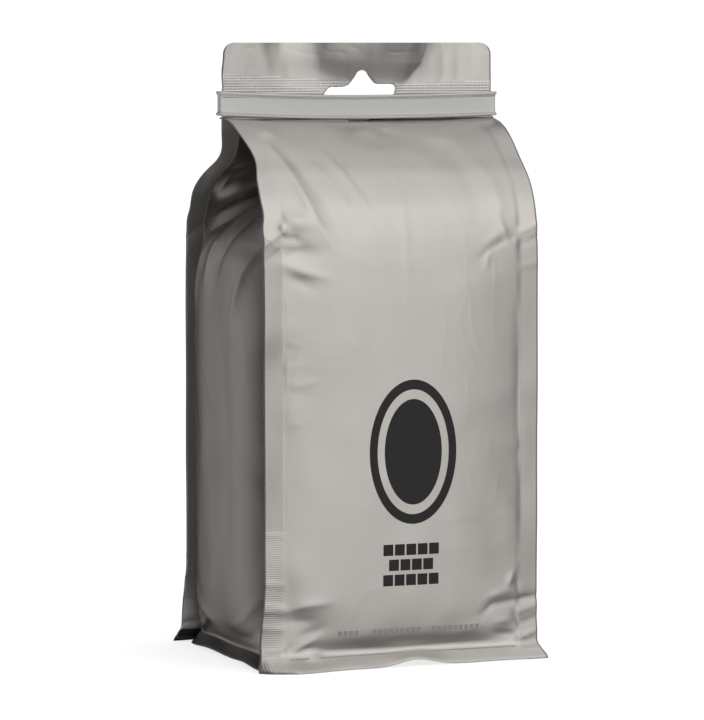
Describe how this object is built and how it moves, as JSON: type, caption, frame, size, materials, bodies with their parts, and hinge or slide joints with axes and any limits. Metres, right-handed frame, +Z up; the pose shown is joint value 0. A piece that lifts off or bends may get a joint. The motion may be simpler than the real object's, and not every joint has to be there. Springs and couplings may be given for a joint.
{
  "type": "pouch of loose gymnastics chalk",
  "caption": "Flat-bottom side-gusset foil pouch filled with loose white chalk powder, with a hang hole and a bendable tin tie across its head.",
  "frame": {"origin": "on the floor, under the middle of the pouch's box", "axes": "+Z up, the pouch's longest side; the front panel faces -Y; +X is to the right seen from the front"},
  "size_m": [0.1292, 0.101, 0.2525],
  "materials": {
    "front_film": "satin",
    "back_film": "satin",
    "gusset_film": "satin",
    "bottom_film": "satin",
    "chalk_powder": "matte",
    "tie_ribbon": "satin",
    "tie_adhesive": "satin",
    "tie_wire": "satin"
  },
  "bodies": {
    "bag": {"front_panel": "front_film", "back_panel": "back_film", "left_gusset": "gusset_film", "right_gusset": "gusset_film", "bottom_panel": "bottom_film", "chalk_fill": "chalk_powder"},
    "head": {"front_header": "front_film", "back_header": "back_film", "left_gusset_header": "gusset_film", "right_gusset_header": "gusset_film", "tie_cover": "tie_ribbon", "tie_backing": "tie_ribbon", "tie_glue": "tie_adhesive", "tie_wire_lower": "tie_wire", "tie_wire_upper": "tie_wire", "left_tie_bend": "tie_ribbon", "right_tie_bend": "tie_ribbon"},
    "left_tab": {"left_tab_cover": "tie_ribbon", "left_tab_backing": "tie_ribbon", "left_tab_wire_lower": "tie_wire", "left_tab_wire_upper": "tie_wire"},
    "right_tab": {"right_tab_cover": "tie_ribbon", "right_tab_backing": "tie_ribbon", "right_tab_wire_lower": "tie_wire", "right_tab_wire_upper": "tie_wire"}
  },
  "joints": [
    {"name": "neck_fold", "type": "hinge", "parent": "bag", "child": "head", "pos_m": [0, 0.00175, 0.22], "axis": [1, 0, 0], "range_deg": [-80, 80]},
    {"name": "left_tab_bend", "type": "hinge", "parent": "head", "child": "left_tab", "pos_m": [-0.061, 0.00175, 0.226], "axis": [0, 0, 1], "range_deg": [0, 180], "deforming": ["left_tie_bend"]},
    {"name": "right_tab_bend", "type": "hinge", "parent": "head", "child": "right_tab", "pos_m": [0.061, 0.00175, 0.226], "axis": [0, 0, -1], "range_deg": [0, 180], "deforming": ["right_tie_bend"]}
  ]
}
